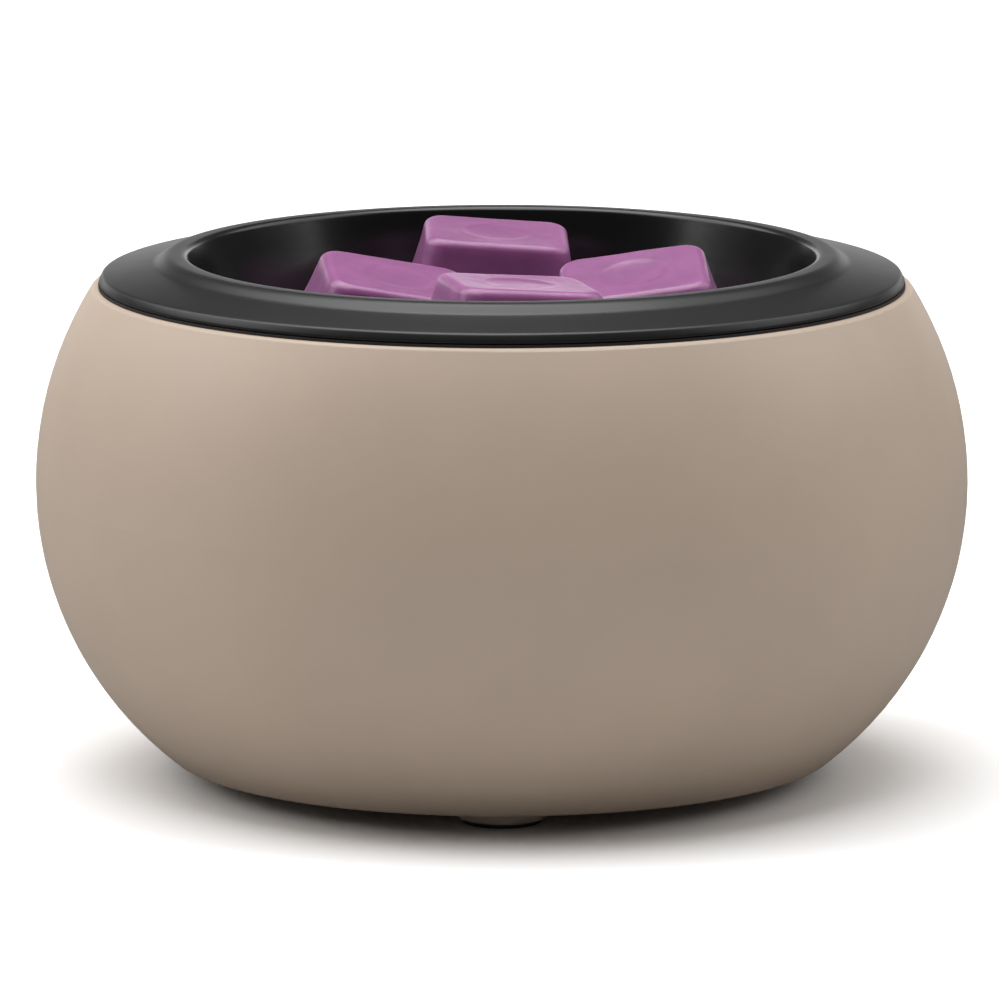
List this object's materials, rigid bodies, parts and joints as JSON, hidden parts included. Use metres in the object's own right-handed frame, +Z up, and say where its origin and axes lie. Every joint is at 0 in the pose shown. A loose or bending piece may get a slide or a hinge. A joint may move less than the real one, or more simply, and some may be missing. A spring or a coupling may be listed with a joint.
{
  "type": "wax melt warmer",
  "caption": "Round ceramic electric wax melt warmer with a lift-out black dish holding wax melts, and a power inlet and button at the back.",
  "frame": {"origin": "on the floor, under the middle of the round bowl", "axes": "+Z up through the bowl's middle, front at -Y, inlet and button at +Y"},
  "size_m": [0.134, 0.134, 0.0758],
  "materials": {
    "ceramic_body": "matte taupe glaze, very fine grain",
    "rubber_pad": "matte",
    "cover_plastic": "fine moulded texture",
    "screw_steel": "zinc plated",
    "plated_steel": "plated sheet",
    "post_brass": "nickel plated brass",
    "heat_aluminium": "turned face",
    "thermal_silicone": "soft sheet",
    "heater_film": "amber insulating film",
    "fuse_metal": "tinned can",
    "glass_sleeve": "braided glass fibre",
    "lug_metal": "tinned copper",
    "wire_red": "satin insulation",
    "wire_white": "satin insulation",
    "wire_black": "satin insulation",
    "wire_blue": "satin insulation",
    "gasket_silicone": "matte silicone",
    "dish_coating": "satin black coating",
    "lilac_wax": "satin lilac wax",
    "bezel_plastic": "fine moulded texture",
    "board_laminate": "green solder mask",
    "jack_plastic": "moulded",
    "pin_metal": "plated pin",
    "led_lens": "tinted clear lens",
    "clear_acrylic": "clear moulding",
    "plunger_plastic": "ivory moulding",
    "button_plastic": "satin",
    "chip_black": "moulded package",
    "capacitor_can": "sleeved can"
  },
  "bodies": {
    "base": {"body_shell": "ceramic_body", "foot_pad_front": "rubber_pad", "foot_pad_left": "rubber_pad", "foot_pad_right": "rubber_pad", "base_cover": "cover_plastic", "base_screws": "screw_steel", "plate_screws": "screw_steel", "clamp_screws": "screw_steel", "fuse_screw": "screw_steel", "thermistor_screw": "screw_steel", "board_screws": "screw_steel", "chassis_plate": "plated_steel", "heat_shield": "plated_steel", "heater_clamp": "plated_steel", "fuse_clip": "plated_steel", "lower_post_front": "post_brass", "lower_post_left": "post_brass", "lower_post_right": "post_brass", "upper_post_front": "post_brass", "upper_post_left": "post_brass", "upper_post_right": "post_brass", "heat_plate": "heat_aluminium", "thermal_pad": "thermal_silicone", "ptc_heater": "heater_film", "thermal_fuse": "fuse_metal", "fuse_sleeve": "glass_sleeve", "thermistor": "lug_metal", "supply_wire": "wire_red", "link_wire": "wire_white", "return_wire": "wire_black", "sensor_lead": "wire_blue", "rim_gasket": "gasket_silicone", "bezel_seal": "gasket_silicone", "rear_bezel": "bezel_plastic", "control_board": "board_laminate", "dc_jack": "jack_plastic", "power_switch": "jack_plastic", "board_connector": "jack_plastic", "jack_pin": "pin_metal", "indicator_led": "led_lens", "light_pipe": "clear_acrylic", "timer_chip": "chip_black", "power_transistor": "chip_black", "capacitor": "capacitor_can"},
    "dish": {"wax_dish": "dish_coating"},
    "wax_melt_back": {"wax_melt_back": "lilac_wax"},
    "wax_melt_left": {"wax_melt_left": "lilac_wax"},
    "wax_melt_right": {"wax_melt_right": "lilac_wax"},
    "wax_melt_front": {"wax_melt_front": "lilac_wax"},
    "button": {"power_button": "button_plastic", "switch_plunger": "plunger_plastic"}
  },
  "joints": [
    {"name": "dish_lift", "type": "slide", "parent": "base", "child": "dish", "axis": [0, 0, 1], "range_m": [0, 0.06]},
    {"name": "melt_back_lift", "type": "slide", "parent": "dish", "child": "wax_melt_back", "axis": [0, 0, 1], "range_m": [0, 0.045]},
    {"name": "melt_left_lift", "type": "slide", "parent": "dish", "child": "wax_melt_left", "axis": [0, 0, 1], "range_m": [0, 0.045]},
    {"name": "melt_right_lift", "type": "slide", "parent": "dish", "child": "wax_melt_right", "axis": [0, 0, 1], "range_m": [0, 0.045]},
    {"name": "melt_front_lift", "type": "slide", "parent": "dish", "child": "wax_melt_front", "axis": [0, 0, 1], "range_m": [0, 0.045]},
    {"name": "power_press", "type": "slide", "parent": "base", "child": "button", "axis": [0, -1, 0], "range_m": [0, 0.0015], "stiffness_N_per_m": 900, "springref_m": -0.001}
  ]
}
